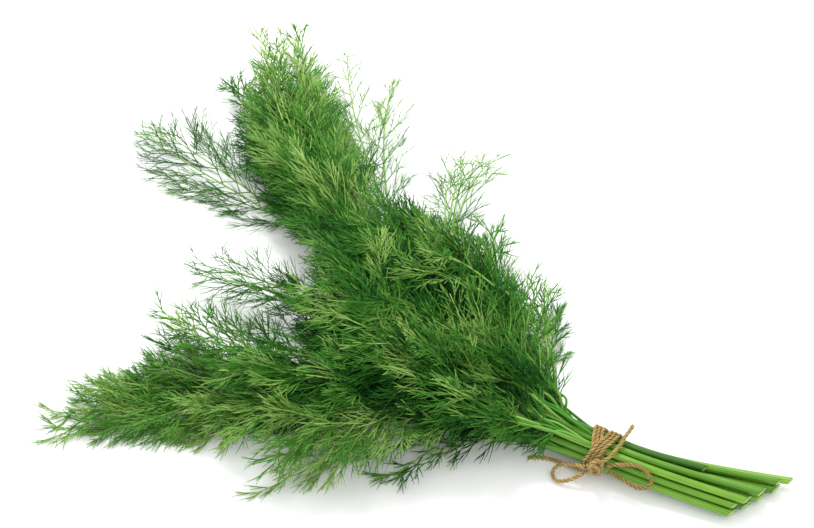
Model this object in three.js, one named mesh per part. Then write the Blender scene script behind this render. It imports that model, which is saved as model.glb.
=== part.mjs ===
// A bunch of cut dill, tied with jute twine and lying on a surface.
//
// The stalks are packed in four rows under the twine. Towards their cut ends they stay together.
// The other way they fan out, each row becoming one layer of the fan, with the feathery leaves lying
// beside and beyond the stalks of their layer. Each leaf is a plain closed plume of the outer shape
// of the real leaf. Each stalk is a tube.
//
// Millimetres, +Z up. The model is laid out about the tie: +X runs to the cut ends, -X to the leaves,
// and Z = 0 is the surface. Places in the fan are polar: a reach from the tie, and an angle from -X,
// positive towards +Y. At the end the whole bunch is moved so that the origin is the bottom centre of
// the stalks and leaves.

import * as THREE from 'three';
import { mergeVertices } from 'three/addons/utils/BufferGeometryUtils.js';

// ---- Driving dimensions ------------------------------------------------------------------------

const STEM_DIAMETER = 3.4;
const STEM_SIDES = 8;
const STEM_STEPS = 20;
const STEM_PITCH = 3.9; // centre to centre across a row under the twine
const ROW_RISE = 3.2; // centre to centre between rows, which nest in each other's gaps
const GAP = 0.3; // kept between things that touch

const TWINE_DIAMETER = 1.8;
const TWINE_SIDES = 8;
const TWINE_STEP = 5.0; // length of one straight piece of a twine tube
const WINDING_WIDTH = 12.0; // along the bunch
const WINDING_THICKNESS = 2.0;

const TIE_LIFT = WINDING_THICKNESS + GAP; // the twine passes under the stalks here
const TIE_HALF = 12; // the stalks run straight for this far either side of the tie
const SHOULDER_REACH = 58; // where the rows have become the layers of the fan

// The other way from the tie the stalks spread out and sink until they lie on the surface. Their
// curves would all end at one reach, and each stalk is cut at some part of its curve.
const CUT_REACH = 84;
const CUT_FIRST = 0.79; // the part at which the nearest stalk is cut
const CUT_SLANT = 0.18; // how much later the stalks of the far side are cut
const CUT_STAGGER = 0.02; // difference between rows
const CUT_PITCH = 7.0; // centre to centre across a row at that reach
const CUT_RISE = 2.0; // centre to centre between rows there
const CUT_OFFSET = 12.3; // the cut ends lie this far towards +Y

// One layer's height: it grows from the shoulder to the full mass of leaves, then thins to the tips.
const SHOULDER_RISE = 7.4;
const FULL_RISE = 12.0;
const TIP_RISE = 6.0;
const FULL_FROM = 110;
const FULL_TO = 150;
const TIP_REACH = 330;
const LAYER_FILL = 0.94; // part of a layer's height that its leaves take

// ---- Where the stalks and leaves lie -----------------------------------------------------------

// One entry for each layer, from the surface up. A stalk is [angle at its end, reach of its end], and
// a third entry is the part of its curve where it is cut, if that is shorter than the rest.
// A leaf is { from: [reach, angle], to: [reach, angle], width }.
const LAYERS = [
  {
    stems: [[-14, 112], [-1, 140], [16, 201], [29, 148]],
    leaves: [
      { from: [114, -13.5], to: [266, -22], width: 46 },
      { from: [100, -21], to: [154, -34], width: 20 },
      { from: [62, -20], to: [98, -34], width: 12 },
      { from: [142, -1.5], to: [188, -2.5], width: 22 },
      { from: [72, -7], to: [128, -6], width: 12 },
      { from: [76, 7], to: [182, 7], width: 18 },
      { from: [203, 17], to: [316, 16.5], width: 50 },
      { from: [76, 23.5], to: [165, 22], width: 16 },
      { from: [172, 22.5], to: [311, 34.5], width: 30 },
      { from: [180, 30], to: [268, 42], width: 32 },
      { from: [150, 37], to: [197, 50.5], width: 26 },
      { from: [90, 39.5], to: [140, 44.5], width: 15 },
      { from: [56, 43], to: [84, 51.5], width: 12 },
    ],
  },
  {
    stems: [[-18, 82], [-10, 146], [4, 152], [17, 158], [29, 128]],
    leaves: [
      { from: [84, -22], to: [127, -34], width: 14 },
      { from: [96, -15], to: [187, -21], width: 16 },
      { from: [148, -11.5], to: [228, -6], width: 26 },
      { from: [72, -3.5], to: [150, -4], width: 14 },
      { from: [155, 4.5], to: [225, 2.3], width: 32 },
      { from: [76, 10.5], to: [172, 10.5], width: 16 },
      { from: [160, 16.5], to: [300, 26.7], width: 32 },
      { from: [74, 23], to: [158, 23.5], width: 15 },
      { from: [166, 27.5], to: [297, 38.7], width: 32 },
      { from: [106, 37], to: [140, 43.5], width: 15 },
      { from: [54, 41], to: [92, 49], width: 14 },
    ],
  },
  {
    stems: [[-14, 88], [0, 120], [15, 130], [28, 110]],
    leaves: [
      { from: [90, -14], to: [185, -15], width: 34 },
      { from: [60, -7], to: [104, -6.5], width: 10 },
      { from: [122, 0], to: [192, 0.5], width: 32 },
      { from: [68, 7.5], to: [128, 8], width: 14 },
      { from: [132, 16], to: [320, 33], width: 46 },
      { from: [72, 21.5], to: [124, 22], width: 12 },
      { from: [126, 30], to: [181, 45], width: 24 },
      { from: [56, 39], to: [84, 46], width: 13 },
    ],
  },
  {
    stems: [[-9, 70], [8, 90], [22, 80, 0.6]],
    leaves: [
      { from: [72, -9], to: [136, -10], width: 28 },
      { from: [58, 0.5], to: [106, 0.5], width: 8 },
      { from: [92, 8.5], to: [178, 13], width: 32 },
      { from: [60, 14.5], to: [112, 17.5], width: 8 },
      { from: [82, 25], to: [130, 29], width: 22 },
      { from: [50, 32], to: [86, 40], width: 13 },
    ],
  },
];

// ---- Materials ---------------------------------------------------------------------------------

const STEM_COLOUR = 0x7fa83a;
const LEAF_COLOUR = 0x2f6a22;
const TWINE_COLOUR = 0xa98556;

function plantMaterial(colour) {
  return new THREE.MeshStandardMaterial({ color: colour, roughness: 0.55, metalness: 0 });
}

function twineMaterial() {
  return new THREE.MeshStandardMaterial({ color: TWINE_COLOUR, roughness: 0.95, metalness: 0 });
}

// ---- The fan's own coordinates -----------------------------------------------------------------

function layerRise(reach) {
  const { mapLinear, clamp } = THREE.MathUtils;
  const growing = mapLinear(reach, SHOULDER_REACH, FULL_FROM, SHOULDER_RISE, FULL_RISE);
  const thinning = mapLinear(reach, FULL_TO, TIP_REACH, FULL_RISE, TIP_RISE);
  return clamp(Math.min(growing, thinning), TIP_RISE, FULL_RISE);
}

function fanPoint(reach, angle, z) {
  const turn = THREE.MathUtils.degToRad(angle);
  return new THREE.Vector3(-reach * Math.cos(turn), reach * Math.sin(turn), z);
}

// ---- Shapes --------------------------------------------------------------------------------------

function polygon(sides, radius) {
  const outline = new THREE.Shape();
  for (let i = 0; i < sides; i += 1) {
    const turn = ((i + 0.5) * 2 * Math.PI) / sides;
    const x = radius * Math.cos(turn);
    const y = radius * Math.sin(turn);
    if (i === 0) outline.moveTo(x, y);
    else outline.lineTo(x, y);
  }
  outline.closePath();
  return outline;
}

function bareGeometry(geometry) {
  geometry.deleteAttribute('normal');
  geometry.deleteAttribute('uv');
  return mergeVertices(geometry);
}

function tube(path, diameter, sides, steps) {
  const section = polygon(sides, diameter / 2);
  const options = { steps, bevelEnabled: false, extrudePath: path };
  return bareGeometry(new THREE.ExtrudeGeometry(section, options));
}

function named(name, geometry, material) {
  const mesh = new THREE.Mesh(geometry, material);
  mesh.name = name;
  return mesh;
}

function numbered(word, number) {
  return `${word}_${String(number).padStart(2, '0')}`;
}

// ---- Stalks --------------------------------------------------------------------------------------

// Centre of a stalk under the twine: y across the bunch and z above the surface.
function tiePlace(row, place, count) {
  const y = (place - (count - 1) / 2) * STEM_PITCH;
  const z = TIE_LIFT + STEM_DIAMETER / 2 + row * ROW_RISE;
  return { y, z };
}

// A stalk's line: in from its cut end, straight through the tie, out to its layer, along its layer.
function stemPath(row, place, count, [angle, reach, cutShort]) {
  const { y, z } = tiePlace(row, place, count);
  const across = place - (count - 1) / 2;
  const farSide = across / 4 + 0.5; // 0 to 1 across the widest row, which has five stalks
  const cut = cutShort ?? CUT_FIRST + farSide * CUT_SLANT + (row % 2) * CUT_STAGGER;
  const cutY = CUT_OFFSET + across * CUT_PITCH;
  const curveEnd = new THREE.Vector3(CUT_REACH, cutY, STEM_DIAMETER / 2 + row * CUT_RISE);
  const tieRight = new THREE.Vector3(TIE_HALF, y, z);
  const tieLeft = new THREE.Vector3(-TIE_HALF, y, z);
  const shoulder = fanPoint(SHOULDER_REACH, angle, (row + 0.5) * layerRise(SHOULDER_REACH));
  const fullPlace = Math.min(reach - 1, FULL_FROM);
  const full = fanPoint(fullPlace, angle, (row + 0.5) * layerRise(fullPlace));
  const end = fanPoint(reach, angle, (row + 0.5) * layerRise(reach));

  const bend = (SHOULDER_REACH - TIE_HALF) * 0.4;
  const outOfTie = tieLeft.clone().add(new THREE.Vector3(-bend, 0, 0));
  const intoLayer = shoulder.clone().lerp(full, -bend / (fullPlace - SHOULDER_REACH));
  const outOfCut = tieRight.clone().add(new THREE.Vector3(bend, 0, 0));
  const cutEnd = new THREE.QuadraticBezierCurve3(tieRight, outOfCut, curveEnd).getPoint(cut);
  const cutBend = tieRight.clone().lerp(outOfCut, cut);

  const path = new THREE.CurvePath();
  path.add(new THREE.QuadraticBezierCurve3(cutEnd, cutBend, tieRight));
  path.add(new THREE.LineCurve3(tieRight, tieLeft));
  path.add(new THREE.CubicBezierCurve3(tieLeft, outOfTie, intoLayer, shoulder));
  path.add(new THREE.LineCurve3(shoulder, full));
  path.add(new THREE.LineCurve3(full, end));
  return path;
}

// ---- Leaves --------------------------------------------------------------------------------------

const PLUME_SIDES = 8;
const PLUME_RINGS = 8;
const PLUME_SHOULDER = 0.42; // widest at this part of its length
const PLUME_END = 0.04; // the pointed ends start at this part of the full width

// Half width along a plume of unit length and unit half width.
function plumeOutline() {
  const outline = [new THREE.Vector2(0, 0)];
  for (let i = 0; i < PLUME_RINGS; i += 1) {
    const along = (i + 0.5) / PLUME_RINGS;
    const skewed = along ** (Math.log(0.5) / Math.log(PLUME_SHOULDER));
    const half = PLUME_END + (1 - PLUME_END) * Math.sin(Math.PI * skewed) ** 0.8;
    outline.push(new THREE.Vector2(half, along));
  }
  outline.push(new THREE.Vector2(0, 1));
  return outline;
}

// A flattened plume lying on the bottom of its layer, its ends on the two polar places. Reach and
// angle both change evenly along it, so it curves, and each of its rings stands at one reach.
function leafGeometry(layer, { from, to, width }) {
  const { lerp, radToDeg } = THREE.MathUtils;
  const turn = Math.PI / PLUME_SIDES; // a flat, not an edge, faces down
  const plume = bareGeometry(new THREE.LatheGeometry(plumeOutline(), PLUME_SIDES, turn));
  const corners = plume.getAttribute('position');
  for (let i = 0; i < corners.count; i += 1) {
    const part = corners.getY(i);
    const half = Math.hypot(corners.getX(i), corners.getZ(i));
    const reach = lerp(from[0], to[0], part);
    const aside = radToDeg((corners.getX(i) * width) / 2 / reach);
    const height = (LAYER_FILL / 2) * (half * Math.cos(turn) + corners.getZ(i));
    const z = layerRise(reach) * (layer + height);
    const place = fanPoint(reach, lerp(from[1], to[1], part) + aside, z);
    corners.setXYZ(i, place.x, place.y, place.z);
  }
  plume.computeVertexNormals();
  return plume;
}

// ---- Twine ---------------------------------------------------------------------------------------

// The outline of the stalks under the twine, grown by some distance: arcs round the outer stalks.
function bundleOutline(shape, grow) {
  const corners = [
    tiePlace(0, 3, 4),
    tiePlace(1, 4, 5),
    tiePlace(3, 2, 3),
    tiePlace(3, 0, 3),
    tiePlace(1, 0, 5),
    tiePlace(0, 0, 4),
  ];
  const radius = STEM_DIAMETER / 2 + grow;
  const count = corners.length;
  for (let i = 0; i < count; i += 1) {
    const here = corners[i];
    const before = corners[(i + count - 1) % count];
    const after = corners[(i + 1) % count];
    const first = Math.atan2(here.z - before.z, here.y - before.y) - Math.PI / 2;
    const last = Math.atan2(after.z - here.z, after.y - here.y) - Math.PI / 2;
    shape.absarc(here.y, here.z, radius, first, last, false);
  }
  shape.closePath();
  return shape;
}

function windingGeometry() {
  const ring = bundleOutline(new THREE.Shape(), GAP + WINDING_THICKNESS - 0.05);
  ring.holes.push(bundleOutline(new THREE.Path(), GAP));
  const options = { depth: WINDING_WIDTH, bevelEnabled: false, curveSegments: 3 };
  const band = bareGeometry(new THREE.ExtrudeGeometry(ring, options));
  // the outline's x and y are the bunch's y and z, and its depth is the bunch's x
  band.rotateZ(Math.PI / 2);
  band.rotateY(Math.PI / 2);
  band.translate(-WINDING_WIDTH / 2, 0, 0);
  return band;
}

const KNOT_PLACE = new THREE.Vector3(2.4, -12.9, 12.4);
const KNOT_SIZE = new THREE.Vector3(8.5, 5, 7);

function knotGeometry() {
  const knot = bareGeometry(new THREE.SphereGeometry(0.5, 10, 7));
  knot.scale(KNOT_SIZE.x, KNOT_SIZE.y, KNOT_SIZE.z);
  knot.translate(KNOT_PLACE.x, KNOT_PLACE.y, KNOT_PLACE.z);
  return knot;
}

// The routes of the twine's free runs, from the knot outwards.
const TWINE_RUNS = {
  twine_loop_left: [
    [-2.2, -13.2, 9.4],
    [-6.4, -12.9, 7.8],
    [-11.6, -13.4, 5.8],
    [-14.4, -14.4, 4.6],
    [-16, -16.5, 3.4],
    [-15.8, -18.9, 2.4],
    [-14, -20.6, 1.9],
    [-11.5, -20.8, 1.9],
    [-6.8, -18.6, 3.6],
    [-2.4, -15.2, 7],
  ],
  twine_loop_right: [
    [6.8, -10.7, 12.7],
    [9, -9.5, 13.6],
    [13, -7.6, 14.4],
    [19.4, -6.2, 15.5],
    [25.5, -6.8, 14.1],
    [27.9, -8.8, 12],
    [26.8, -10.9, 9.8],
    [23.2, -12.3, 8.6],
    [18.1, -11.9, 8.6],
    [12.8, -11.5, 9.4],
    [8, -11.6, 10.2],
  ],
  twine_tail_left: [
    [-2.2, -13.2, 5.2],
    [-7, -11.9, 3.4],
    [-12, -10.9, 1.9],
    [-17.5, -10.8, 1.1],
    [-24, -12, 1],
    [-30, -15, 1],
  ],
  twine_tail_right: [
    [5.3, -10.4, 15.9],
    [7, -7.6, 17.2],
    [7.8, -3.8, 17.2],
    [8.6, 0.5, 17.4],
    [9, 4.6, 18.2],
    [9.6, 8.6, 18.8],
    [10.1, 11.4, 19.2],
  ],
};

function twineGeometry(points) {
  const places = points.map(([x, y, z]) => new THREE.Vector3(x, y, z));
  const path = new THREE.CatmullRomCurve3(places, false, 'centripetal');
  return tube(path, TWINE_DIAMETER, TWINE_SIDES, Math.ceil(path.getLength() / TWINE_STEP));
}

// ---- The bunch -----------------------------------------------------------------------------------

const plant = new THREE.Group();
let stemNumber = 0;
let leafNumber = 0;
LAYERS.forEach(({ stems, leaves }, layer) => {
  stems.forEach((stem, place) => {
    stemNumber += 1;
    const path = stemPath(layer, place, stems.length, stem);
    const geometry = tube(path, STEM_DIAMETER, STEM_SIDES, STEM_STEPS);
    plant.add(named(numbered('stem', stemNumber), geometry, plantMaterial(STEM_COLOUR)));
  });
  leaves.forEach((leaf) => {
    leafNumber += 1;
    const geometry = leafGeometry(layer, leaf);
    plant.add(named(numbered('leaf', leafNumber), geometry, plantMaterial(LEAF_COLOUR)));
  });
});

const twine = new THREE.Group();
twine.add(named('twine_winding', windingGeometry(), twineMaterial()));
twine.add(named('twine_knot', knotGeometry(), twineMaterial()));
for (const [name, points] of Object.entries(TWINE_RUNS)) {
  twine.add(named(name, twineGeometry(points), twineMaterial()));
}

const bunch = new THREE.Group();
bunch.add(plant, twine);

// The origin: bottom centre of the stalks and leaves.
const box = new THREE.Box3().setFromObject(plant, true);
const centre = box.getCenter(new THREE.Vector3());
bunch.position.set(-centre.x, -centre.y, -box.min.z);
bunch.updateMatrixWorld(true);

export default bunch;
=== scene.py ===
# %% [markdown]
# A bunch of fresh dill, tied with jute twine and lying on a white table.
#
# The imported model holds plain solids: one tube for each stalk, one flattened plume for each leaf, and
# a band, a lump and four tubes for the twine. They say where everything is. This lesson grows the real
# thing on them: ribbed stalks with pale cut ends, leaves branched down to single threads, and a twine
# laid up from plies. Nothing is moved or resized. The stalks, the big leaves and the knot are placed by
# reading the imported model, and everything else is placed from the tie.

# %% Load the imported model
import math

import bpy
import numpy as np
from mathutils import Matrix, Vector


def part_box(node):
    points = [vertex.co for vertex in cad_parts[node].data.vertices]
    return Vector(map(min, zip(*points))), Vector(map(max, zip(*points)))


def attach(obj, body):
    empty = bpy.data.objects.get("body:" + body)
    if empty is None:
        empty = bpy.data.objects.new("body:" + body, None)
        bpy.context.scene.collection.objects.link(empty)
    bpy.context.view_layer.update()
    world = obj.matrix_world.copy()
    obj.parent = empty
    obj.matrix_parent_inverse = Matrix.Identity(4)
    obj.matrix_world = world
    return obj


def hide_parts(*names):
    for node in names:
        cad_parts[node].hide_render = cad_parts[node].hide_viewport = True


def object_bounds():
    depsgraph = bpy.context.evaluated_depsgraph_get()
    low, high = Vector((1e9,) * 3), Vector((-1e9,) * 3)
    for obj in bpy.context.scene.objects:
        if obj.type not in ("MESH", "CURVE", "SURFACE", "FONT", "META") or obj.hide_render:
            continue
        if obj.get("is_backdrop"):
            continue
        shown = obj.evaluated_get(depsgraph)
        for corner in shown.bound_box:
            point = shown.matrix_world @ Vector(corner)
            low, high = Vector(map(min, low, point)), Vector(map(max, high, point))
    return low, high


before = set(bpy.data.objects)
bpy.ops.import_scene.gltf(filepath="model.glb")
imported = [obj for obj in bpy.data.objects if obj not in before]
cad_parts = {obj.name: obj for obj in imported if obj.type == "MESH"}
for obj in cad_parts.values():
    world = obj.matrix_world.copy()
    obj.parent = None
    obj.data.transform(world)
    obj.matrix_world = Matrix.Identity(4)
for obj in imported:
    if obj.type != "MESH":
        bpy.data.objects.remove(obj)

MM = 0.001
UP = np.array([0.0, 0.0, 1.0])
cad_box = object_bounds()
tie_low, tie_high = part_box("twine_winding")
TIE = np.array([(tie_low.x + tie_high.x) / 2, (tie_low.y + tie_high.y) / 2, 0.0])
print("packed model", [round(b - a, 4) for a, b in zip(*cad_box)], "m,", len(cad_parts), "nodes")

# %% [markdown]
# The bunch is looked down on from its near side, a little towards the cut ends, from about halfway up
# the sky. A short telephoto lens keeps the near and far leaves nearly the same scale.

# %% The camera
VIEW_AZIMUTH = math.radians(27)
VIEW_ELEVATION = math.radians(50)
VIEW_DISTANCE = 0.938
AIM = Vector(TIE) + Vector((-0.1254, 0.0495, 0.020))  # a point among the leaves

away = Vector((
    math.sin(VIEW_AZIMUTH) * math.cos(VIEW_ELEVATION),
    -math.cos(VIEW_AZIMUTH) * math.cos(VIEW_ELEVATION),
    math.sin(VIEW_ELEVATION),
))
lens = bpy.data.cameras.new("camera")
lens.lens = 85
lens.sensor_width = 36
camera = bpy.data.objects.new("camera", lens)
camera.location = AIM + away * VIEW_DISTANCE
camera.rotation_euler = away.to_track_quat("Z", "Y").to_euler()
bpy.context.scene.collection.objects.link(camera)
bpy.context.scene.camera = camera

# %% [markdown]
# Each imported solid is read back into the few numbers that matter. A stalk's tube is a row of
# eight-cornered rings, and the middle of each ring is a point of its centre line. The stalks all run
# from the cut ends towards -X, so sorting the corners by X brings each ring's corners together.
# A leaf's plume has a pointed end near the tie, where its leaf stalk comes in, and one at its tip. All
# the corners of each ring between them are equally far from the tie.

# %% Read the stalks and leaves
STALK_SIDES = 8
PLUME_SIDES = 8


def corners(node):
    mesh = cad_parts[node].data
    places = np.empty(len(mesh.vertices) * 3)
    mesh.vertices.foreach_get("co", places)
    return np.unique(places.reshape(-1, 3).round(6), axis=0)


def centre_line(node):
    places = corners(node)
    ordered = places[np.argsort(-places[:, 0])]
    return ordered.reshape(-1, STALK_SIDES, 3).mean(axis=1)


def plume_of(node):
    """The middle line of a plume and its half width along it, from its base to its tip."""
    places = corners(node)
    reach = np.linalg.norm(places[:, :2] - TIE[:2], axis=1)
    ordered = places[reach.argsort()]
    rings = ordered[1:-1].reshape(-1, PLUME_SIDES, 3)
    line = np.concatenate([ordered[:1], rings.mean(axis=1), ordered[-1:]])
    across = np.linalg.norm((rings - rings.mean(axis=1, keepdims=True))[..., :2], axis=2).max(axis=1)
    return {"line": line, "half": np.concatenate([[0], across, [0]])}


stalk_names = sorted(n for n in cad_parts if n.startswith("stem_"))
leaf_names = sorted(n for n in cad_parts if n.startswith("leaf_"))
stalk_lines = {name: centre_line(name) for name in stalk_names}
plumes = {name: plume_of(name) for name in leaf_names}
print(len(stalk_lines), "stalks,", len(plumes), "leaves, tie at", TIE.round(4))

# %% [markdown]
# Everything here is long and thin: threads, stalks and plies of twine are all tubes round a line.
# One function turns a whole batch of lines into tubes at once. Working on all of them as arrays keeps
# tens of thousands of threads to a second or two, which one object for each would not.
#
# Each corner keeps two numbers, the tone of its thread and how far along the thread it is. The
# materials read them, and the same two numbers are the corner's place on the baked colour map.

# %% Tubes round a batch of lines
BAKE_MARGIN = 0.02


def unit(vectors):
    return vectors / np.maximum(np.linalg.norm(vectors, axis=-1, keepdims=True), 1e-12)


STEEP = 0.8  # how much of a line's heading points up or down before X, not Z, sets its sides


def tubes(lines, radii, sides, tone, along=None):
    """Closed tubes round lines (many, points, 3) with radii (many, points)."""
    many, points, _ = lines.shape
    ahead = unit(np.gradient(lines, axis=1))
    spare = np.where(np.abs(ahead[:, :1, 2:]) > STEEP, [[[1.0, 0, 0]]], [[[0, 0, 1.0]]])
    across = unit(np.cross(ahead, np.broadcast_to(spare, ahead.shape)))
    over = np.cross(ahead, across)
    turn = np.arange(sides) * 2 * math.pi / sides
    ring = across[:, :, None] * np.cos(turn)[:, None] + over[:, :, None] * np.sin(turn)[:, None]
    places = (lines[:, :, None] + radii[:, :, None, None] * ring).reshape(-1, 3)

    first = (np.arange(many) * points * sides)[:, None, None]
    level = (np.arange(points - 1) * sides)[:, None]
    here = np.arange(sides)
    there = (here + 1) % sides
    quads = np.stack([
        first + level + here,
        first + level + there,
        first + level + sides + there,
        first + level + sides + here,
    ], axis=-1).reshape(-1, 4)
    near_cap = first[:, 0] + here[::-1]
    far_cap = first[:, 0] + (points - 1) * sides + here
    if along is None:
        along = np.broadcast_to(np.linspace(0, 1, points), (many, points))
    return {
        "places": places,
        "faces": [quads, near_cap, far_cap],
        "tone": np.repeat(tone, points * sides),
        "along": np.repeat(along.reshape(-1), sides),
    }


def joined(parts):
    faces = []
    start = 0
    for part in parts:
        faces += [face + start for face in part["faces"]]
        start += len(part["places"])
    whole = {key: np.concatenate([part[key] for part in parts]) for key in ("places", "tone", "along")}
    whole["faces"] = faces
    return whole


def make_piece(name, shape, material, stands_for=()):
    """A mesh object from a shape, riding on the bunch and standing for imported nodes."""
    mesh = bpy.data.meshes.new(name)
    faces = shape["faces"]
    loops = np.concatenate([face.reshape(-1) for face in faces]).astype(np.int32)
    sizes = np.concatenate([np.full(len(face), face.shape[1]) for face in faces])
    mesh.vertices.add(len(shape["places"]))
    mesh.vertices.foreach_set("co", shape["places"].astype(np.float32).ravel())
    mesh.loops.add(len(loops))
    mesh.loops.foreach_set("vertex_index", loops)
    mesh.polygons.add(len(sizes))
    mesh.polygons.foreach_set("loop_start", np.concatenate([[0], sizes.cumsum()[:-1]]).astype(np.int32))
    mesh.update(calc_edges=True)
    mesh.polygons.foreach_set("use_smooth", np.ones(len(sizes), bool))
    for key in ("tone", "along"):
        layer = mesh.attributes.new(key, "FLOAT", "POINT")
        layer.data.foreach_set("value", shape[key].astype(np.float32))
    bake_map = mesh.uv_layers.new(name="OFBake")
    spots = BAKE_MARGIN + (1 - 2 * BAKE_MARGIN) * np.stack([shape["tone"], shape["along"]], axis=1)
    bake_map.data.foreach_set("uv", spots[loops].astype(np.float32).ravel())
    mesh.materials.append(material)
    piece = bpy.data.objects.new(name, mesh)
    bpy.context.scene.collection.objects.link(piece)
    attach(piece, "root")
    if stands_for:
        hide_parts(*stands_for)
    return piece


# %% [markdown]
# Materials. The leaf threads take their colour from their own tone: old and shaded threads are a deep
# blue green, young ones a yellow green, and every thread is paler where it leaves its twig. The stalks
# are lighter, with fine darker streaks along their ribs. The twine is dry straw brown fibre, with
# painted shade darkening the grooves between its plies.
#
# The stalks and the twine share a mottle, patches of slightly darker and lighter colour that are a
# little raised or sunk as well. It is one node group, and both materials come from one function.

# %% The shared mottle group
def make_mottle_group():
    group = bpy.data.node_groups.new("natural_mottle", "ShaderNodeTree")
    group.interface.new_socket("Colour", in_out="INPUT", socket_type="NodeSocketColor")
    group.interface.new_socket("Where", in_out="INPUT", socket_type="NodeSocketVector")
    group.interface.new_socket("Scale", in_out="INPUT", socket_type="NodeSocketFloat")
    group.interface.new_socket("Strength", in_out="INPUT", socket_type="NodeSocketFloat")
    group.interface.new_socket("Colour", in_out="OUTPUT", socket_type="NodeSocketColor")
    group.interface.new_socket("Height", in_out="OUTPUT", socket_type="NodeSocketFloat")
    taken = group.nodes.new("NodeGroupInput")
    given = group.nodes.new("NodeGroupOutput")
    noise = group.nodes.new("ShaderNodeTexNoise")
    noise.inputs["Detail"].default_value = 4
    shift = group.nodes.new("ShaderNodeMath")
    shift.operation = "SUBTRACT"
    shift.inputs[1].default_value = 0.5
    sway = group.nodes.new("ShaderNodeMath")
    sway.operation = "MULTIPLY_ADD"
    sway.inputs[2].default_value = 1.0
    tint = group.nodes.new("ShaderNodeHueSaturation")
    link = group.links.new
    link(taken.outputs["Where"], noise.inputs["Vector"])
    link(taken.outputs["Scale"], noise.inputs["Scale"])
    link(noise.outputs["Fac"], shift.inputs[0])
    link(shift.outputs[0], sway.inputs[0])
    link(taken.outputs["Strength"], sway.inputs[1])
    link(sway.outputs[0], tint.inputs["Value"])
    link(taken.outputs["Colour"], tint.inputs["Color"])
    link(tint.outputs["Color"], given.inputs["Colour"])
    link(noise.outputs["Fac"], given.inputs["Height"])
    return group


mottle_group = make_mottle_group()


def new_material(name):
    material = bpy.data.materials.new(name)
    material.use_nodes = True
    shader = material.node_tree.nodes["Principled BSDF"]
    return material, material.node_tree.nodes, material.node_tree.links.new, shader


def number_of(nodes, key):
    reader = nodes.new("ShaderNodeAttribute")
    reader.attribute_name = key
    return reader.outputs["Fac"]


def ramp(nodes, stops):
    node = nodes.new("ShaderNodeValToRGB")
    while len(node.color_ramp.elements) < len(stops):
        node.color_ramp.elements.new(0.5)
    for element, (place, colour) in zip(node.color_ramp.elements, stops):
        element.position = place
        element.color = (*colour, 1)
    return node


def make_mottled_material(name, stops, scale, strength, relief_strength, relief_depth, roughness, specular):
    material, nodes, link, shader = new_material(name)
    tones = ramp(nodes, stops)
    link(number_of(nodes, "tone"), tones.inputs["Fac"])
    where = nodes.new("ShaderNodeTexCoord")
    mottle = nodes.new("ShaderNodeGroup")
    mottle.node_tree = mottle_group
    mottle.inputs["Scale"].default_value = scale
    mottle.inputs["Strength"].default_value = strength
    link(tones.outputs["Color"], mottle.inputs["Colour"])
    link(where.outputs["Object"], mottle.inputs["Where"])
    link(mottle.outputs["Colour"], shader.inputs["Base Color"])
    relief = nodes.new("ShaderNodeBump")
    relief.inputs["Strength"].default_value = relief_strength
    relief.inputs["Distance"].default_value = relief_depth
    link(mottle.outputs["Height"], relief.inputs["Height"])
    link(relief.outputs["Normal"], shader.inputs["Normal"])
    shader.inputs["Roughness"].default_value = roughness
    shader.inputs["Specular IOR Level"].default_value = specular
    return material


# %% The leaf material
LEAF_TONES = (
    (0.00, (0.002, 0.024, 0.004)),
    (0.35, (0.011, 0.098, 0.010)),
    (0.65, (0.066, 0.256, 0.026)),
    (1.00, (0.310, 0.500, 0.120)),
)
PALE_BASE = (0.10, 0.25, 0.03)  # mixed in where a thread begins


def make_leaf_material():
    material, nodes, link, shader = new_material("dill_leaf")
    tones = ramp(nodes, LEAF_TONES)
    link(number_of(nodes, "tone"), tones.inputs["Fac"])
    fade = ramp(nodes, ((0.0, (0.45, 0.45, 0.45)), (0.35, (0, 0, 0))))
    link(number_of(nodes, "along"), fade.inputs["Fac"])
    pale = nodes.new("ShaderNodeMix")
    pale.data_type = "RGBA"
    pale.inputs["B"].default_value = (*PALE_BASE, 1)
    link(fade.outputs["Color"], pale.inputs["Factor"])
    link(tones.outputs["Color"], pale.inputs["A"])
    link(pale.outputs["Result"], shader.inputs["Base Color"])
    roughness = ramp(nodes, ((0.0, (0.5, 0.5, 0.5)), (1.0, (0.36, 0.36, 0.36))))
    link(number_of(nodes, "tone"), roughness.inputs["Fac"])
    link(roughness.outputs["Color"], shader.inputs["Roughness"])
    shader.inputs["Specular IOR Level"].default_value = 0.1
    return material


leaf_material = make_leaf_material()

# %% The stalk material
STALK_TONES = (
    (0.00, (0.010, 0.060, 0.002)),
    (0.45, (0.062, 0.200, 0.007)),
    (0.80, (0.190, 0.390, 0.024)),
    (1.00, (0.360, 0.480, 0.170)),
)
stalk_material = make_mottled_material(
    "dill_stalk", STALK_TONES, scale=90.0, strength=0.5,
    relief_strength=0.15, relief_depth=0.2 * MM, roughness=0.38, specular=0.45,
)

# %% The twine material
TWINE_TONES = (
    (0.00, (0.100, 0.055, 0.018)),
    (0.40, (0.250, 0.165, 0.055)),
    (0.75, (0.440, 0.315, 0.120)),
    (1.00, (0.620, 0.480, 0.240)),
)
twine_material = make_mottled_material(
    "jute_twine", TWINE_TONES, scale=700.0, strength=0.9,
    relief_strength=0.6, relief_depth=0.3 * MM, roughness=0.9, specular=0.1,
)

# %% [markdown]
# The twine is one soft jute cord, 1.8 mm thick: a few turns round the stalks, a knot low on the near
# side, two bow loops and two tails. The free runs follow the same routes as their packed tubes. A real
# cord is laid up from plies, and the eye reads that before anything else, so each run is three plies
# wound round the route, not one smooth tube with stripes.

# %% Smooth routes
TWINE_DIAMETER = 1.8 * MM
PLIES = 3
PLY_OFFSET = 0.27 * TWINE_DIAMETER
PLY_RADIUS = 0.26 * TWINE_DIAMETER
PLY_SIDES = 8
LAY_LENGTH = 3.6 * TWINE_DIAMETER  # the route that one turn of a ply takes
CURVE_POINTS = 24  # between two given points of a route


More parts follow.
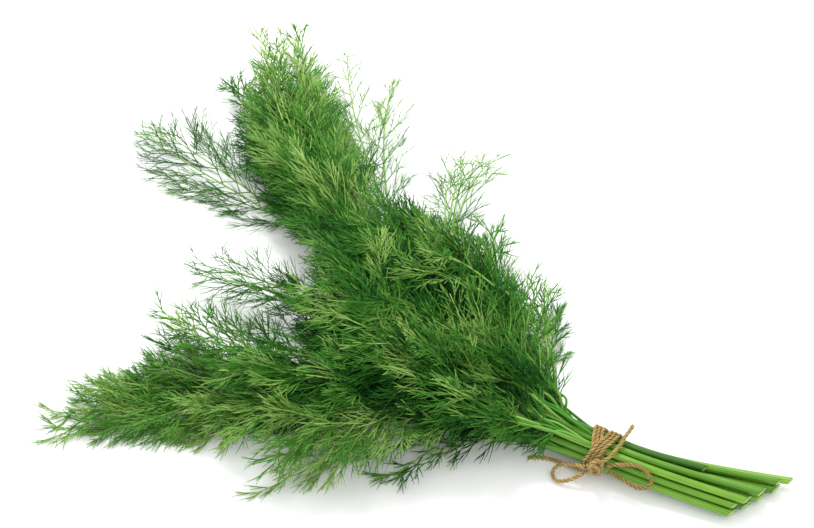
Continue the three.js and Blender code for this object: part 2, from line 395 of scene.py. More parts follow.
def smooth_route(points, step):
    """Points every step along a smooth line through the given ones."""
    points = np.asarray(points, float)
    gaps = np.sqrt(np.linalg.norm(np.diff(points, axis=0), axis=1))
    knots = np.concatenate([[0], gaps.cumsum()])
    slopes = np.gradient(points, knots, axis=0)
    places = []
    for i, gap in enumerate(gaps):
        t = np.linspace(0, 1, CURVE_POINTS, endpoint=False)[:, None]
        places.append(
            (2 * t**3 - 3 * t**2 + 1) * points[i] + (t**3 - 2 * t**2 + t) * gap * slopes[i]
            + (3 * t**2 - 2 * t**3) * points[i + 1] + (t**3 - t**2) * gap * slopes[i + 1]
        )
    return even_route(np.concatenate([*places, points[-1:]]), step)


def even_route(line, step):
    run = np.concatenate([[0], np.linalg.norm(np.diff(line, axis=0), axis=1).cumsum()])
    marks = np.linspace(0, run[-1], max(int(round(run[-1] / step)), 2) + 1)
    return np.stack([np.interp(marks, run, line[:, k]) for k in range(3)], axis=1)


def length_of(line):
    return float(np.linalg.norm(np.diff(line, axis=0), axis=1).sum())


# %% Lay up the plies
def steady_sides(line):
    """Two directions across a line that don't twist from point to point."""
    ahead = unit(np.gradient(line, axis=0))
    side = np.empty_like(ahead)
    side[0] = unit(np.cross(ahead[0], UP + [0.01, 0.02, 0]))
    for i in range(1, len(line)):
        side[i] = unit(side[i - 1] - ahead[i] * (side[i - 1] @ ahead[i]))
    return side, np.cross(ahead, side)


def twine_shape(line, seed):
    rng = np.random.default_rng(seed)
    side, over = steady_sides(line)
    run = np.linspace(0, length_of(line), len(line))
    lines = []
    for ply in range(PLIES):
        turn = 2 * math.pi * (run / LAY_LENGTH + ply / PLIES)
        offset = PLY_OFFSET * (1 + 0.12 * np.sin(run / (5 * MM) + ply))
        out = np.cos(turn)[:, None] * side + np.sin(turn)[:, None] * over
        lines.append(line + offset[:, None] * out)
    lines = np.stack(lines)
    radii = PLY_RADIUS * (1 + 0.10 * rng.standard_normal(lines.shape[:2]).cumsum(axis=1) * 0.15)
    radii = np.clip(radii, 0.85 * PLY_RADIUS, 1.15 * PLY_RADIUS)
    radii[:, [0, -1]] *= 0.55  # rounds off both ends
    shape = tubes(lines, radii, PLY_SIDES, rng.uniform(0.45, 0.75, PLIES))
    middle = np.repeat(np.tile(line, (PLIES, 1)), PLY_SIDES, axis=0)
    # painted shade: the deeper a corner lies between the plies, the darker its tone
    depth = np.linalg.norm(shape["places"] - middle, axis=1) / (PLY_OFFSET + PLY_RADIUS)
    shape["tone"] = np.clip(shape["tone"] * (0.15 + 0.95 * depth**1.5), 0, 1)
    return shape


# %% The free runs of the twine
TWINE_RUNS = {  # places from the foot of the tie, in mm
    "twine_loop_left": [
        (-2.2, -13.2, 9.4), (-6.4, -12.9, 7.8), (-11.6, -13.4, 5.8), (-14.4, -14.4, 4.6),
        (-16, -16.5, 3.4), (-15.8, -18.9, 2.4), (-14, -20.6, 1.9), (-11.5, -20.8, 1.9),
        (-6.8, -18.6, 3.6), (-2.4, -15.2, 7),
    ],
    "twine_loop_right": [
        (6.8, -10.7, 12.7), (9, -9.5, 13.6), (13, -7.6, 14.4), (19.4, -6.2, 15.5), (25.5, -6.8, 14.1),
        (27.9, -8.8, 12), (26.8, -10.9, 9.8), (23.2, -12.3, 8.6), (18.1, -11.9, 8.6), (12.8, -11.5, 9.4),
        (8, -11.6, 10.2),
    ],
    "twine_tail_left": [
        (1.6, -13.0, 9.6), (-2.2, -13.2, 5.2), (-7, -11.9, 3.4), (-12, -10.9, 1.9), (-17.5, -10.8, 1.1),
        (-24, -12, 1), (-30, -15, 1),
    ],
    "twine_tail_right": [
        (-2.2, -12.4, 9.6), (1.8, -12.2, 12.6), (5.3, -10.4, 15.9), (7, -7.6, 17.2), (7.8, -3.8, 17.2),
        (8.6, 0.5, 17.4), (9, 4.6, 18.2), (9.6, 8.6, 18.8), (10.1, 11.4, 19.2),
    ],
}

twine_routes = {}
for number, (name, points) in enumerate(TWINE_RUNS.items()):
    route = smooth_route(TIE + np.array(points) * MM, 0.5 * MM)
    twine_routes[name] = route
    shape = twine_shape(route, number)
    run = make_piece(name.replace("twine", "jute"), shape, twine_material, [name])
    print(name, round(length_of(route) * 1000, 1), "mm")

# %% [markdown]
# The turns round the stalks. They leave the knot, cross each other on top of the bunch and spread to
# both sides, so that they show as an X. Each turn runs along the outline of the bundle of stalks,
# which is worked out from where the stalks pass under the tie: at each direction, the stalk that
# reaches furthest carries the twine.

# %% The turns round the stalks
STALK_RADIUS = 1.7 * MM
OUTLINE_POINTS = 721
TURN_GAP = 0.1 * MM  # between the stalks and the twine
FAR_SIDE = (0.30, 0.50)  # the part of a turn, from 0 to 1, that lies on the far side of the bunch
LIFT_AT, LIFT_SPREAD = 0.15, 0.13  # where a turn rises over the ones that it crosses
EASING = 9  # points to each side that round off a turn's corners
KNOT_DIRECTION = math.radians(165)  # where the knot sits round the bundle, from +Y towards +Z
TURNS = (
    # how far from the tie's middle a turn starts, lies on the far side and ends, and its lift, in mm
    (5.2, -1.9, 3.4, 0.0),
    (3.4, -3.8, 1.4, 0.0),
    (1.4, -5.6, -1.0, 0.0),
    (-1.0, 5.8, -3.0, 1.5),
    (-3.0, 3.9, -5.0, 1.5),
    (-5.0, 1.9, -2.0, 1.5),
)


def stalk_places_at(x):
    places = []
    for line in stalk_lines.values():
        rising = line[::-1]
        places.append([np.interp(x, rising[:, 0], rising[:, k]) for k in (1, 2)])
    return np.array(places)


def bundle_outline(grow):
    """Points round the bundle at the tie, starting at the knot, as (across, up)."""
    stalks = stalk_places_at(TIE[0])
    turn = KNOT_DIRECTION - np.linspace(0, 2 * math.pi, OUTLINE_POINTS)
    out = np.stack([np.cos(turn), np.sin(turn)], axis=1)
    carrier = stalks[(out @ stalks.T).argmax(axis=1)]
    return carrier + (STALK_RADIUS + grow) * out


def turn_line(start, far, end, lift):
    outline = bundle_outline(TWINE_DIAMETER / 2 + TURN_GAP)
    outline = even_route(np.column_stack([np.zeros(len(outline)), outline]), 0.5 * MM)
    part = np.linspace(0, 1, len(outline))
    ahead = np.interp(part, (0, *FAR_SIDE, 1), (start, far, far, end))
    easing = np.ones(2 * EASING + 1) / (2 * EASING + 1)
    smooth = np.convolve(np.pad(ahead, EASING, mode="edge"), easing, mode="valid")
    out = unit(outline - outline.mean(axis=0))
    raised = lift * np.exp(-(((part - LIFT_AT) / LIFT_SPREAD) ** 2))
    line = outline + out * raised[:, None] * MM
    line[:, 0] = TIE[0] + smooth * MM
    return line


winding_route = even_route(np.concatenate([turn_line(*turn) for turn in TURNS]), 0.55 * MM)
make_piece("jute_winding", twine_shape(winding_route, 7), twine_material, ["twine_winding"])
print("winding", round(length_of(winding_route) * 1000), "mm")

# %% [markdown]
# The knot is a short piece of the same cord, wound two and a half times round the place where
# everything meets. Tightened jute shows as a small lump of bent plies.

# %% The knot
knot_low, knot_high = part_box("twine_knot")
KNOT = np.array((knot_low + knot_high) / 2)
KNOT_TURNS = 2.6


def knot_route():
    turn = np.linspace(0, 2 * math.pi * KNOT_TURNS, 90)
    wrap = np.stack([
        2.6 * np.cos(turn) * (1 - 0.05 * turn / math.pi),
        1.5 * np.sin(1.6 * turn / KNOT_TURNS) + 0.84 * np.sin(turn) - 0.9,
        2.2 * np.sin(turn) + 0.7 * (turn / math.pi - KNOT_TURNS),
    ], axis=1)  # in mm, shrinking a little and climbing as it winds
    return even_route(KNOT + wrap * MM, 0.45 * MM)


make_piece("jute_knot", twine_shape(knot_route(), 11), twine_material, ["twine_knot"])

# %% [markdown]
# Loose fibres stand off any jute cord. Each is a hair a tenth of a millimetre thick or less, curved
# away from the surface of the cord.

# %% Loose fibres on the twine
FIBRE_RADIUS = 0.045 * MM
FIBRE_SIDES = 3
FIBRE_POINTS = 4
FIBRES_PER_MM = 1.2


def fibre_shape(routes, seed):
    rng = np.random.default_rng(seed)
    line = np.concatenate(routes)
    count = int(sum(length_of(route) for route in routes) / MM * FIBRES_PER_MM)
    pick = rng.integers(1, len(line) - 1, count)
    ahead = unit(line[pick + 1] - line[pick - 1])
    out = unit(np.cross(ahead, rng.standard_normal((count, 3))))
    lean = unit(out + ahead * rng.uniform(-1.2, 1.2, (count, 1)))
    reach = rng.uniform(0.8, 2.4, (count, 1, 1)) * MM
    t = np.linspace(0, 1, FIBRE_POINTS)[None, :, None]
    curl = rng.standard_normal((count, 1, 3)) * 0.35
    start = (line[pick] + out * TWINE_DIAMETER * 0.42)[:, None]
    lines = start + reach * (t * lean[:, None] + t**2 * curl)
    lines[:, :, 2] = np.maximum(lines[:, :, 2], 0.1 * MM)
    radii = FIBRE_RADIUS * np.broadcast_to(np.array([1, 0.9, 0.7, 0.3]), (count, FIBRE_POINTS))
    return tubes(lines, radii, FIBRE_SIDES, rng.uniform(0.6, 1.0, count))


fibre_routes = [winding_route, knot_route(), *twine_routes.values()]
fibres = make_piece("jute_fibres", fibre_shape(fibre_routes, 5), twine_material)
print("loose fibres", len(fibres.data.vertices) // (FIBRE_SIDES * FIBRE_POINTS))

# %% [markdown]
# The stalks are ribbed lengthwise, like thin celery, and get thinner towards the leaves. A stalk
# could be a plain cylinder with a striped bump, but the ribs catch the light along their whole length
# and show in the outline of the cut end, so they are modelled: each ring of the stalk has a wavy
# radius. The cut end is pale and sunk a little in the middle, where the pith dries first.

# %% The stalks
STALK_RING = 40
STALK_STEP = 1.5 * MM
RIBS = 10
FULL_STALK = 1.75 * MM  # radius at the cut end
THIN_STALK = 0.95 * MM  # radius among the leaves
TAPER_FROM = 0.10  # how far from its cut end a stalk begins to thin, in m
TAPER_OVER = 0.13
CUT_SLANT = 0.8  # how far the far side of a cut end stands out, per mm across it
STALK_SHADES = (0.34, 0.62, 0.46, 0.74, 0.54)  # tones, given to the stalks in turn
SHEATH = "stem_16"  # the dark short sheath that lies on top
SHEATH_SHADE = 0.22
PITH_RINGS = ((0.86, 0.0, 0.85), (0.55, 0.25, 0.97), (0.25, 0.7, 0.80))  # size, depth in mm and tone


def stalk_shape(line, base, seed):
    rng = np.random.default_rng(seed)
    route = even_route(line, STALK_STEP)
    side, over = steady_sides(route)
    run = np.linspace(0, length_of(route), len(route))
    thinning = np.clip((run - TAPER_FROM) / TAPER_OVER, 0, 1)
    width = (FULL_STALK + (THIN_STALK - FULL_STALK) * thinning) * rng.uniform(0.94, 1.04)
    turn = np.arange(STALK_RING) * 2 * math.pi / STALK_RING
    phase = rng.uniform(0, 2 * math.pi, 3)
    ribs = 0.5 + 0.5 * np.cos(RIBS * turn + phase[0])
    uneven = 0.03 * np.cos(2 * turn + phase[1])
    radius = width[:, None] * (0.95 + 0.08 * ribs**1.5 - 0.03 + uneven)
    ring = np.cos(turn)[None, :, None] * side[:, None] + np.sin(turn)[None, :, None] * over[:, None]
    places = route[:, None] + radius[:, :, None] * ring
    outwards = unit(route[0] - route[1])
    places[0] += outwards * CUT_SLANT * (places[0] - route[0])[:, 1:2]

    streak = rng.normal(0, 0.07, STALK_RING)
    shade = base + 0.22 * (ribs - 0.5) + streak
    drift = 0.06 * np.sin(run / 0.03 + phase[2])
    tone = np.clip(shade[None, :] + drift[:, None], 0.02, 0.98)
    return cut_end(places, route, tone)


def cut_end(places, route, tone):
    """Closes both ends of a stalk, the first with a sunken pale pith."""
    rings = [places]
    tones = [tone]
    inwards = unit(route[1] - route[0])
    for scale, depth, pale in PITH_RINGS:
        inner = route[0] + (places[0] - route[0]) * scale + inwards * depth * MM
        rings.insert(0, inner[None])
        tones.insert(0, np.full((1, STALK_RING), pale))
    stack = np.concatenate(rings)
    levels = len(stack)
    here = np.arange(STALK_RING)
    there = (here + 1) % STALK_RING
    level = (np.arange(levels - 1) * STALK_RING)[:, None]
    quads = np.stack([
        level + here,
        level + there,
        level + STALK_RING + there,
        level + STALK_RING + here,
    ], axis=-1)
    caps = [here[::-1][None], ((levels - 1) * STALK_RING + here)[None]]
    along = np.repeat(np.linspace(0, 1, levels), STALK_RING)
    return {
        "places": stack.reshape(-1, 3),
        "faces": [quads.reshape(-1, 4), *caps],
        "tone": np.concatenate(tones).ravel(),
        "along": along,
    }


for number, name in enumerate(stalk_names):
    base = SHEATH_SHADE if name == SHEATH else STALK_SHADES[number % len(STALK_SHADES)]
    shape = stalk_shape(stalk_lines[name], base, 100 + number)
    make_piece(name.replace("stem", "stalk"), shape, stalk_material, [name])
print(len(stalk_names), "stalks")

# %% [markdown]
# A dill leaf branches three times. The leaf stalk carries pairs of side branches, those carry pairs
# of twigs, and the twigs bear soft threads about half a millimetre thick that point forwards. Drawing
# the threads as cards or particles would lose their round, tapering tips, and a bunch seen this close
# is nothing but threads. So each leaf is really grown: every branch is a short curve with a start, a
# heading, a length and a curl, and one function sets pairs of shoots on any batch of them.

# %% How twigs branch
def point_on(twigs, owner, place):
    length = twigs["length"][owner][:, None]
    t = place[:, None]
    return twigs["start"][owner] + length * (t * twigs["heading"][owner] + t**2 * twigs["curl"][owner])


def heading_on(twigs, owner, place):
    return unit(twigs["heading"][owner] + 2 * place[:, None] * twigs["curl"][owner])


def spread_shoots(heading, normal, side, angle, roll):
    """The heading and normal of shoots that leave a twig to one side."""
    across = unit(np.cross(normal, heading)) * side[:, None]
    facing = unit(np.cross(heading, across)) * side[:, None]
    lean = across * np.cos(roll)[:, None] + facing * np.sin(roll)[:, None]
    new_heading = heading * np.cos(angle)[:, None] + lean * np.sin(angle)[:, None]
    new_normal = facing * np.cos(roll)[:, None] - across * np.sin(roll)[:, None]
    return unit(new_heading), unit(new_normal)


LAST_PAIR = 0.95  # how far along a twig its last pair of shoots leaves it, from 0 to 1


def side_shoots(twigs, rng, gap, first, angle, share, shortest, longest, roll):
    """Pairs of shoots every gap along each twig, shorter towards its tip."""
    pairs = np.maximum(((LAST_PAIR - first) * twigs["length"] / gap).astype(int), 1)
    owner = np.repeat(np.arange(len(pairs)), pairs * 2)
    first_of_twig = np.concatenate([[0], (pairs * 2).cumsum()[:-1]])
    order = np.arange(len(owner)) - np.repeat(first_of_twig, pairs * 2)
    side = 1.0 - 2.0 * (order % 2)
    step = order // 2 + 0.35 * (side < 0) + rng.uniform(-0.2, 0.2, len(owner))
    place = np.clip(first + (LAST_PAIR - first) * step / pairs[owner], first, LAST_PAIR + 0.02)
    heading, normal = spread_shoots(
        heading_on(twigs, owner, place), twigs["normal"][owner], side,
        rng.normal(angle, 0.12, len(owner)) * (1 - 0.25 * place), rng.normal(0, roll, len(owner)),
    )
    full = share * twigs["length"][owner] * (1 - place) ** 0.6 + shortest
    length = np.minimum(full, longest) * rng.uniform(0.75, 1.15, len(owner))
    forwards = heading_on(twigs, owner, place) - heading
    curl = forwards * rng.uniform(0.05, 0.3, (len(owner), 1)) + rng.normal(0, 0.06, (len(owner), 3))
    tone = twigs["tone"][owner] + rng.normal(0, 0.05, len(owner))
    start = point_on(twigs, owner, place)
    return {
        "start": start, "heading": heading, "normal": normal,
        "length": length, "curl": curl, "tone": tone,
    }


def twig_tubes(twigs, thick, thin, sides, cuts):
    t = np.array(cuts)[None, :, None]
    lines = twigs["start"][:, None] + twigs["length"][:, None, None] * (
        t * twigs["heading"][:, None] + t**2 * twigs["curl"][:, None]
    )
    lines = keep_inside(lines, thick)
    radii = thick + (thin - thick) * t[..., 0] ** 1.5
    radii = np.broadcast_to(radii, lines.shape[:2])
    along = np.broadcast_to(np.array(cuts), lines.shape[:2])
    return tubes(lines, radii, sides, np.clip(twigs["tone"], 0.0, 1.0), along)


FLOOR_GAP = 0.15 * MM
CEILING = cad_box[1][2] + 8 * MM
SOFT_TOP = 15 * MM  # how far under the ceiling the bending down begins


def keep_inside(lines, radius):
    """Lays what would sink into the table on it, and bends down what would stand too high."""
    height = lines[..., 2]
    low = radius + FLOOR_GAP
    height = np.where(height < low, low + 0.12 * np.minimum(low - height, 6 * MM), height)
    high = CEILING - SOFT_TOP
    height = np.where(height > high, high + SOFT_TOP * np.tanh((height - high) / SOFT_TOP), height)
    return np.concatenate([lines[..., :2], height[..., None]], axis=-1)


# %% [markdown]
# Each leaf grows on its own plume. Its leaf stalk leaves the nearest stalk a little before the plume,
# runs in at the near point and follows the plume's middle almost to its tip. The side branches sweep
# forwards and reach a little past the plume's outline. A thick plume is a tuft of several leaves that
# lie together, so companions grow beside the first one.
#
# Some of the functions place things by reach and angle: how far from the tie, in mm, and in which
# direction, in degrees from -X towards +Y. The middle of the fan is at about 10 degrees.

# %% A leaf's own stalk
LEAVES_BEFORE = (24, 44)  # how far before its plume a leaf's stalk leaves the main one, in mm
FIRST_LEAVING = 60  # none leaves nearer to the cut end than this, in mm


def fan_place(reach, angle, height):
    turn = np.radians(angle)
    return TIE + np.stack([-reach * np.cos(turn), reach * np.sin(turn), height], axis=-1) * MM


def pile_height(reach):
    return np.interp(reach, (20, 58, 110, 150, 200, 330), (15, 26, 45, 44, 36, 14))


def painted_light_and_shade_at(places):
    """Painted shade: leaves deep in the pile and in the dips between leaves are darkened, and the ones on
    top are lightened a little, as painted light and partly as the paler young growth there.
    """
    x, y = (places - TIE)[:, :2].T / MM
    reach = np.hypot(x, y)
    off_middle = np.abs(np.degrees(np.arctan2(y, -x)) - 8)
    depth = places[:, 2] / MM / pile_height(reach)
    share = np.interp(reach, (130, 190), (1.0, 0.35)) * np.interp(off_middle, (22, 30), (1, 0.2))
    # painted shade: a wavy pattern of darker patches for the shade in the dips between the leaves
    painted_hollow_shade = 0.18 * np.sin(x / 9) * np.sin(y / 8 + x / 25)
    # painted shade deep in the pile, fading to a little painted light on its top
    return share * (painted_hollow_shade + np.interp(depth, (0.15, 0.6, 1.0), (-0.45, -0.25, 0.10)))


def nearest_stalk(place):
    """The line of the stalk that passes nearest to a place, with a point for each mm from its cut end."""
    best = min(stalk_lines, key=lambda name: np.linalg.norm(stalk_lines[name] - place, axis=1).min())
    return even_route(stalk_lines[best], 1 * MM)


def leaf_stalk(plume, aside, lift, reach, rng):
    """The line of a leaf's midrib and the part of it where the leafy stretch begins."""
    line = plume["line"]
    stalk = nearest_stalk(line[0])
    meets = np.linalg.norm(stalk - line[0], axis=1).argmin()
    leaving = max(meets - rng.integers(*LEAVES_BEFORE), FIRST_LEAVING)
    part = np.linspace(0, 1, len(line))
    sideways = unit(np.cross(UP, np.gradient(line, axis=0)))
    shift = aside * plume["half"].max() * np.sin(np.minimum(part * 1.25, 1) * math.pi / 2)
    moved = line + sideways * shift[:, None] + UP * (lift * np.sin(part * math.pi * 0.6))[:, None]
    keep = max(int(round(reach * len(line))), 4)
    entry = moved[0] + UP * 3 * MM
    route = smooth_route([stalk[leaving], stalk[leaving + 8], entry, *moved[1:keep]], 1.5 * MM)
    leafy = np.linalg.norm(route - entry, axis=1).argmin() / len(route)
    return route, leafy


# %% Grow one leaf
HABITS = {
    "packed": {"branch_gap": 11.5, "twig_gap": 5.2, "thread_gap": 3.3, "thread_radius": 0.30},
    "airy": {"branch_gap": 13.0, "twig_gap": 7.5, "thread_gap": 4.4, "thread_radius": 0.19},
}  # gaps along the midrib, branch and twig, in mm
PAST_OUTLINE = 1.2
SHORTEST_BRANCH = 13 * MM
OUTWARDS = 0.55  # how far out from the midrib a branch reaches, per mm of its length
RIB_RADII = (0.85, 0.55, 0.25)  # at the start, where the leafy stretch begins, and at the tip, in mm


def grow_leaf(plume, tone, habit, rng, aside=0.0, lift=0.0, reach=1.0, fullness=1.0):
    """A leaf on a plume, set to one side and raised, as far along it and as full as the shares say."""
    line, leafy = leaf_stalk(plume, aside, lift, reach, rng)
    habit = HABITS[habit]
    thread_radius = habit["thread_radius"] * MM
    total = length_of(line)
    pairs = max(int(total * (1 - leafy) / (habit["branch_gap"] * MM)), 4)
    order = np.arange(pairs * 2)
    part = (order // 2 + 0.3 * (order % 2) + rng.uniform(-0.2, 0.2, len(order)) + 0.3) / pairs
    part = np.clip(part, 0, 0.985)
    spot = (leafy + (1 - leafy) * part) * (len(line) - 1)
    index = np.clip(spot.astype(int), 0, len(line) - 2)
    start = line[index] + (line[index + 1] - line[index]) * (spot - index)[:, None]
    ahead = unit(line[index + 1] - line[index])
    sideways = unit(np.cross(UP, ahead))
    normal = unit(np.cross(ahead, sideways) + sideways * math.tan(rng.normal(0, 0.3)))
    side = 1.0 - 2.0 * (order % 2)
    angle = rng.normal(0.74, 0.10, len(order)) - 0.30 * part
    heading, normal = spread_shoots(ahead, normal, side, angle, rng.normal(0, 0.45, len(order)))
    lands = np.clip(part * reach + 0.12, 0, 1)
    half = np.interp(lands, np.linspace(0, 1, len(plume["half"])), plume["half"])
    length = np.maximum(fullness * PAST_OUTLINE * half / OUTWARDS, SHORTEST_BRANCH)
    length = length * rng.uniform(0.75, 1.15, len(order))
    branches = {
        "start": start, "heading": heading, "normal": normal, "length": length,
        "curl": (ahead - heading) * 0.2 + rng.normal(0, 0.04, (len(order), 3)),
        "tone": tone + 0.10 * (part - 0.4) + rng.normal(0, 0.12, len(order)),
    }
    twigs = side_shoots(
        branches, rng, gap=habit["twig_gap"] * MM, first=0.18, angle=0.54, share=0.40,
        shortest=7 * MM, longest=21 * MM, roll=0.55,
    )
    threads = side_shoots(
        twigs, rng, gap=habit["thread_gap"] * MM, first=0.28, angle=0.42, share=0.42,
        shortest=4.5 * MM, longest=11 * MM, roll=0.6,
    )
    last = len(line) - 1
    rib_radii = np.interp(np.arange(len(line)), (0, leafy * last, last), RIB_RADII) * MM
    rib_tone = np.array([min(tone + 0.25, 0.95)])
    rib = tubes(keep_inside(line[None], 0.4 * MM), rib_radii[None], 8, rib_tone)
    branches["tone"] = branches["tone"] + 0.08
    # painted shade deep in the pile and painted light on its top, added to the tone of every shoot
    for shoots in (branches, twigs, threads):
        shoots["tone"] = shoots["tone"] + painted_light_and_shade_at(shoots["start"])
    return joined([
        rib,
        twig_tubes(branches, 1.4 * thread_radius, 0.7 * thread_radius, sides=5, cuts=(0, 0.3, 0.65, 1)),
        twig_tubes(twigs, 1.1 * thread_radius, 0.5 * thread_radius, sides=3, cuts=(0, 0.5, 1)),
        twig_tubes(threads, thread_radius, 0.4 * thread_radius, sides=3, cuts=(0, 0.5, 1)),
    ])


# %% Grow every leaf
AIRY_LEAVES = {
    "leaf_04": 0, "leaf_07": 1, "leaf_10": 0, "leaf_11": 1,
    "leaf_12": 1, "leaf_18": 1, "leaf_22": 0, "leaf_27": 1, "leaf_31": 1,
}  # the young leaves, and how many companions each has
AREA_PER_LEAF = 800 * MM**2
FIRST_REACH = 0.89  # how far along its plume the first leaf goes, from 0 to 1
COMPANION_SIDES = (0.45, -0.45, 0.15)  # how far to the side each lies, in half widths of the plume
COMPANION_FULLNESS = 0.75


def companions_of(name, plume):
    if name in AIRY_LEAVES:
        return AIRY_LEAVES[name]
    area = length_of(plume["line"]) * plume["half"].max() * 2
    return int(np.clip(round(area / AREA_PER_LEAF) - 1, 0, len(COMPANION_SIDES)))


def tone_with_painted_light(plume):
    """Painted light and shade: leaves at the tips and along the edges get brighter tones, standing in for
    light through their thin threads, and the ones packed round the stalks get darker tones, standing in for
    shade.
    """
    x, y = (plume["line"] - TIE)[:, :2].mean(axis=0) / MM
    reach = math.hypot(x, y)
    off_middle = abs(math.degrees(math.atan2(y, -x)) - 10)  # in degrees
    # painted light along the edges of the fan, for light shining through the thin threads
    edge = np.interp(off_middle, (15, 35), (0, 0.44)) * np.interp(reach, (130, 170), (1, 0.15))
    # painted shade near the stalks, turning to painted light towards the tips
    return np.interp(reach, (90, 190), (0.30, 0.75)) + edge


leaves_grown = 0
for number, name in enumerate(leaf_names):
    plume = plumes[name]
    rng = np.random.default_rng(500 + number)
    tone = tone_with_painted_light(plume) + rng.uniform(-0.08, 0.08)
    habit = "airy" if name in AIRY_LEAVES else "packed"
    shapes = [grow_leaf(plume, tone, habit, rng, reach=FIRST_REACH)]
    for side in COMPANION_SIDES[:companions_of(name, plume)]:
        aside = side + rng.uniform(-0.1, 0.1)
        lift = rng.uniform(-1, 4) * MM
        shade = tone + rng.uniform(-0.20, 0.15)
        reach = rng.uniform(0.7, 0.95)
        shapes.append(grow_leaf(plume, shade, habit, rng, aside, lift, reach, COMPANION_FULLNESS))
    leaves_grown += len(shapes)
    make_piece(name.replace("leaf", "dill_leaf"), joined(shapes), leaf_material, [name])
print(leaves_grown, "leaves")

# %% [markdown]
# The heart of the bunch is packed with smaller leaves that grow from the stalks between the big ones.
# They have no plume in the imported model, so each gets one here, somewhere in the fan, and together
# they hide the stalks. The pile is highest from 110 to 150 mm from the tie. A collar of short leaves
# hangs over the stalks next to the tie, and a few young sprays, their tone raised as painted light
# shining through them, hang out of the pile's lower edge.

# %% The heart of the bunch
HEART_LEAVES = 84
# the leaves on top are young ones, and their tone is raised further as a painted highlight
BRIGHT_EVERY = 9  # one leaf in so many is a young bright one on top
BRIGHT_TONE_WITH_PAINTED_HIGHLIGHT = 0.68
HEART_FROM, HEART_TO = 34.0, 104.0  # reach from the tie of their near ends, in mm
COLLAR_LEAVES = 20
EVEN_SPREAD = 0.618  # steps of this share of a stretch, wrapped round, fill it evenly
# the hanging sprays' bright tone is painted light, standing in for light shining through the thin threads
SPRAY_TONE_WITH_PAINTED_LIGHT = 0.84
HANGING_SPRAYS = (
    # near reach and angle, far reach and angle, level in the pile, half width
    (116, -18, 152, -32, 0.40, 14),
    (98, -18, 128, -33, 0.42, 13),
    (80, -17, 108, -32, 0.45, 13),
    (60, -16, 86, -25, 0.60, 10),
    (134, -18, 168, -26, 0.40, 13),
    (106, -19, 140, -27, 0.50, 13),
    (86, -18, 116, -26, 0.55, 12),
)
HEART_PIECES = 4


def pile_edges(reach):
    """The two angles between which the heart lies at a reach."""
    low = np.interp(reach, (40, 80, 120, 150, 180), (-17, -16, -10, -3, 3))
    high = np.interp(reach, (40, 70, 90, 126, 160), (26, 37, 33, 24, 15))
    return low, high


def heart_plume(near, far, angles, level, half):
    part = np.linspace(0, 1, 9)
    reach = near + (far - near) * part
    angle = angles[0] + (angles[1] - angles[0]) * part
    height = level * pile_height(reach) + 3 * np.sin(part * math.pi)
    width = half * MM * np.sin(math.pi * part**0.75) ** 0.8
    return {"line": fan_place(reach, angle, height), "half": width}


heart_shapes = []
for number in range(HEART_LEAVES):
    rng = np.random.default_rng(1700 + number)
    near = rng.uniform(HEART_FROM, HEART_TO)
    far = near + rng.uniform(42, 76)
    start = np.interp((number * EVEN_SPREAD) % 1, (0, 1), pile_edges(near))
    end = np.clip(start + rng.uniform(-24, 24), *pile_edges(far))
    level = 1.0 if number % BRIGHT_EVERY == 0 else rng.uniform(0.4, 1.0)
    plume = heart_plume(near, far, (start, end), level, rng.uniform(12, 17))
    # painted shade: the lower a leaf lies in the pile, the darker its tone
    tone = 0.52 * level**2 + rng.uniform(-0.12, 0.12)
    # a young leaf on top, its tone raised as a painted highlight
    if number % BRIGHT_EVERY == 0:
        tone = BRIGHT_TONE_WITH_PAINTED_HIGHLIGHT
    heart_shapes.append(grow_leaf(plume, tone, "packed", rng))

for number in range(COLLAR_LEAVES):
    rng = np.random.default_rng(2500 + number)
    near = rng.uniform(18, 34)
    start = np.interp((number * EVEN_SPREAD) % 1, (0, 1), (-20, 26))
    end = start + rng.uniform(-8, 8)
    plume = heart_plume(near, near + rng.uniform(34, 52), (start, end), rng.uniform(0.7, 1.1), 8)
    heart_shapes.append(grow_leaf(plume, rng.uniform(0.35, 0.6), "packed", rng))

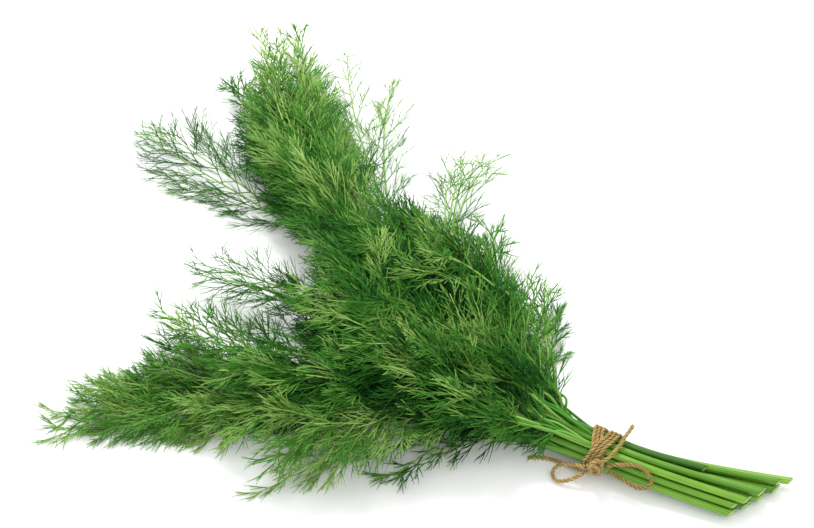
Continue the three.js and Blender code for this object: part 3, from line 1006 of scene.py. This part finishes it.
for number, (near, start, far, end, level, half) in enumerate(HANGING_SPRAYS):
    rng = np.random.default_rng(2600 + number)
    plume = heart_plume(near, far, (start, end), level, half)
    heart_shapes.append(grow_leaf(plume, SPRAY_TONE_WITH_PAINTED_LIGHT, "packed", rng, fullness=1.1))

for part in range(HEART_PIECES):
    name = f"dill_heart_{part + 1}"
    make_piece(name, joined(heart_shapes[part::HEART_PIECES]), leaf_material)

# %% [markdown]
# The table is a plain white sheet, and the light is soft: a bright sky all round and one large lamp
# high at the back left, so the shadows are faint and fall towards the viewer and to the right.

# %% The table
TABLE_SIZE = 6.0


def make_table():
    mesh = bpy.data.meshes.new("table")
    half = TABLE_SIZE / 2
    corner_places = [(-half, -half, 0), (half, -half, 0), (half, half, 0), (-half, half, 0)]
    mesh.from_pydata(corner_places, [], [(0, 1, 2, 3)])
    table = bpy.data.objects.new("table", mesh)
    bpy.context.scene.collection.objects.link(table)
    material, _, _, shader = new_material("white_table")
    shader.inputs["Base Color"].default_value = (0.93, 0.93, 0.93, 1)
    shader.inputs["Roughness"].default_value = 0.9
    shader.inputs["Specular IOR Level"].default_value = 0.0
    mesh.materials.append(material)
    table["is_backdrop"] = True


make_table()

# %% The light
SKY_STRENGTH = 1.25
LAMP_POWER = 17.0


def make_lamp(name, place, aim, size, power):
    light = bpy.data.lights.new(name, "AREA")
    light.shape = "DISK"
    light.size = size
    light.energy = power
    lamp = bpy.data.objects.new(name, light)
    lamp.location = place
    lamp.rotation_euler = (Vector(place) - Vector(aim)).to_track_quat("Z", "Y").to_euler()
    bpy.context.scene.collection.objects.link(lamp)


world = bpy.data.worlds.new("white_sky")
world.use_nodes = True
sky = world.node_tree.nodes["Background"]
sky.inputs["Color"].default_value = (1, 1, 1, 1)
sky.inputs["Strength"].default_value = SKY_STRENGTH
bpy.context.scene.world = world
make_lamp("back_left_softbox", (-0.60, 0.70, 1.25), (0, 0, 0), 0.6, LAMP_POWER)
bpy.context.scene.view_settings.view_transform = "Standard"

# %% Record both boxes and finish
visual_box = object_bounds()
for axis in range(3):
    growth = [round((visual_box[k][axis] - cad_box[k][axis]) * 1000, 1) for k in (0, 1)]
    print("XYZ"[axis], "grows", growth, "mm")
